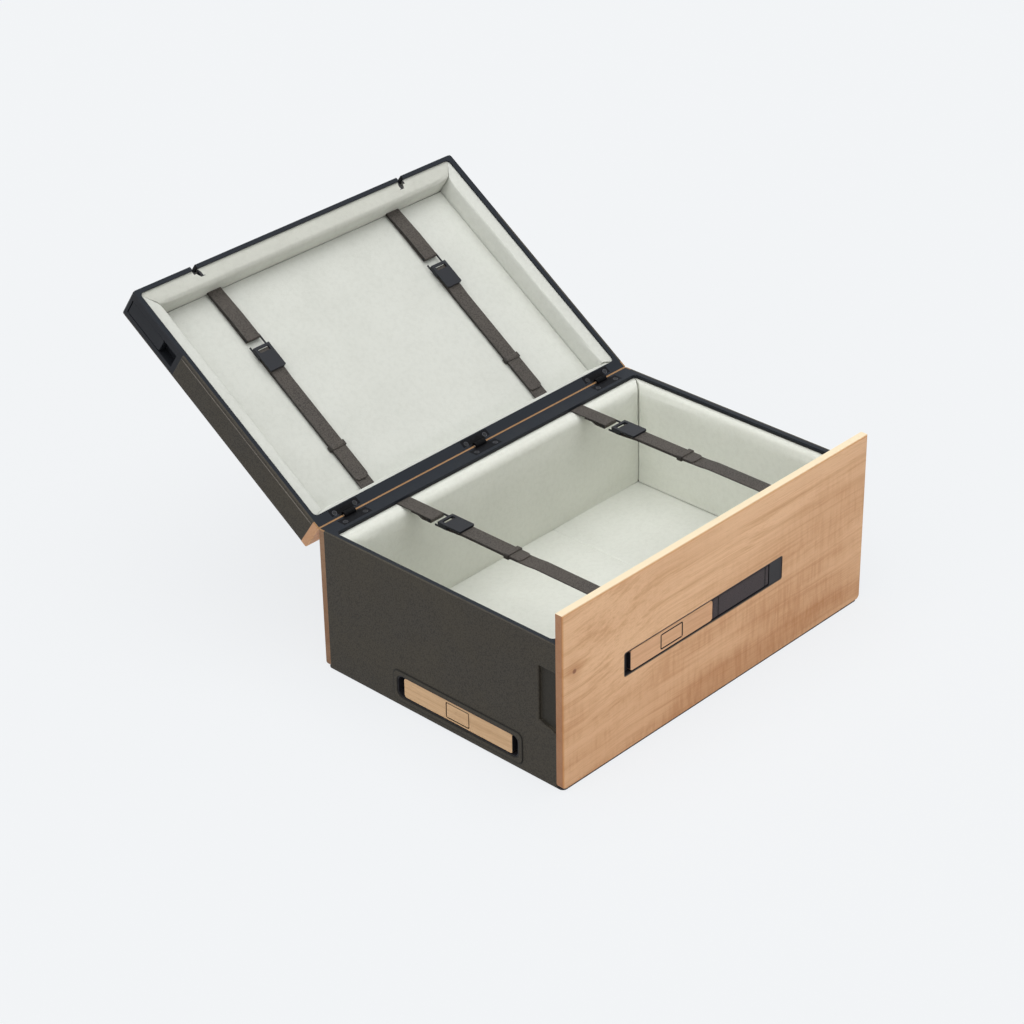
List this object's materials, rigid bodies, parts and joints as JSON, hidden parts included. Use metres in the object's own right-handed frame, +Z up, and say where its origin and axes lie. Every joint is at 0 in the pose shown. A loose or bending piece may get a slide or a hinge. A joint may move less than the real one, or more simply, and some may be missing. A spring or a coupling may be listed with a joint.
{
  "type": "watch box",
  "caption": "Trunk-style watch box with hinged lid, wooden front and back, leather sides, suede lining with hooked straps, sliding front latch, pull-out side grips and lid levers",
  "frame": {"origin": "on the ground under the middle of the box, lid swung open behind it", "axes": "+Z up, -Y the wooden front with the latch, +Y the hinge side, +X to the right of a person facing the front"},
  "size_m": [0.4516, 0.5909, 0.3299],
  "materials": {
    "wood": "oiled, fine straight grain",
    "board": "bare plywood",
    "leather": "matt, fine grain",
    "strap_leather": "matt",
    "suede": "brushed suede",
    "black_metal": "satin black",
    "steel": "brushed",
    "black_plastic": "matt",
    "rubber": "matt"
  },
  "bodies": {
    "base": {"foot_plate": "rubber", "bottom_board": "board", "front_panel": "wood", "front_inner_wall": "board", "back_panel": "wood", "back_inner_wall": "board", "left_side_wall": "board", "right_side_wall": "board", "left_side_leather": "leather", "right_side_leather": "leather", "base_rim": "black_metal", "floor_board": "board", "base_floor_pad": "suede", "base_back_pad": "suede", "base_front_pad": "suede", "base_left_pad": "suede", "base_right_pad": "suede", "left_side_tray": "black_plastic", "right_side_tray": "black_plastic", "latch_tray": "black_plastic", "base_hinge_leaves": "black_metal", "hinge_pins": "steel", "base_hinge_screws": "black_metal", "base_left_strap": "strap_leather", "base_right_strap": "strap_leather", "base_strap_hooks": "black_metal", "base_strap_keepers": "strap_leather"},
    "lid": {"lid_shell": "board", "lid_leather": "leather", "lid_back_strip": "wood", "lid_rim": "black_metal", "lid_left_corner": "black_metal", "lid_right_corner": "black_metal", "lid_floor_pad": "suede", "lid_front_pad": "suede", "lid_back_pad": "suede", "lid_left_pad": "suede", "lid_right_pad": "suede", "lid_hinge_leaves": "black_metal", "lid_hinge_screws": "black_metal", "lid_left_strap": "strap_leather", "lid_right_strap": "strap_leather", "lid_strap_hooks": "black_metal", "lid_strap_keepers": "strap_leather"},
    "left_lever": {"left_lever": "black_metal"},
    "right_lever": {"right_lever": "black_metal"},
    "latch": {"latch_grip": "wood", "latch_leather_pad": "leather", "latch_draw_bar": "black_metal", "latch_spring": "steel"},
    "latch_button": {"latch_button": "wood"},
    "left_grip": {"left_side_grip": "wood", "left_side_rods": "steel", "left_side_spring": "steel"},
    "left_button": {"left_side_button": "wood"},
    "right_grip": {"right_side_grip": "wood", "right_side_rods": "steel", "right_side_spring": "steel"},
    "right_button": {"right_side_button": "wood"}
  },
  "joints": [
    {"name": "lid_hinge", "type": "hinge", "parent": "base", "child": "lid", "pos_m": [0, 0.159, 0.15875], "axis": [-1, 0, 0], "range_deg": [-146, 0]},
    {"name": "left_lever_hinge", "type": "hinge", "parent": "lid", "child": "left_lever", "pos_m": [-0.2232, 0.41672, 0.31154], "axis": [0, 0.5592, -0.829], "range_deg": [0, 70]},
    {"name": "right_lever_hinge", "type": "hinge", "parent": "lid", "child": "right_lever", "pos_m": [0.2232, 0.41672, 0.31154], "axis": [0, -0.5592, 0.829], "range_deg": [0, 70]},
    {"name": "latch_slide", "type": "slide", "parent": "base", "child": "latch", "axis": [-1, 0, 0], "range_m": [0, 0.007]},
    {"name": "latch_button_press", "type": "slide", "parent": "latch", "child": "latch_button", "axis": [0, 1, 0], "range_m": [0, 0.001], "stiffness_N_per_m": 400, "deforming": ["latch_spring"]},
    {"name": "left_grip_pull", "type": "slide", "parent": "base", "child": "left_grip", "axis": [-1, 0, 0], "range_m": [0, 0.025]},
    {"name": "left_button_press", "type": "slide", "parent": "left_grip", "child": "left_button", "axis": [1, 0, 0], "range_m": [0, 0.0011], "stiffness_N_per_m": 400, "deforming": ["left_side_spring"]},
    {"name": "right_grip_pull", "type": "slide", "parent": "base", "child": "right_grip", "axis": [1, 0, 0], "range_m": [0, 0.025]},
    {"name": "right_button_press", "type": "slide", "parent": "right_grip", "child": "right_button", "axis": [-1, 0, 0], "range_m": [0, 0.0011], "stiffness_N_per_m": 400, "deforming": ["right_side_spring"]}
  ]
}
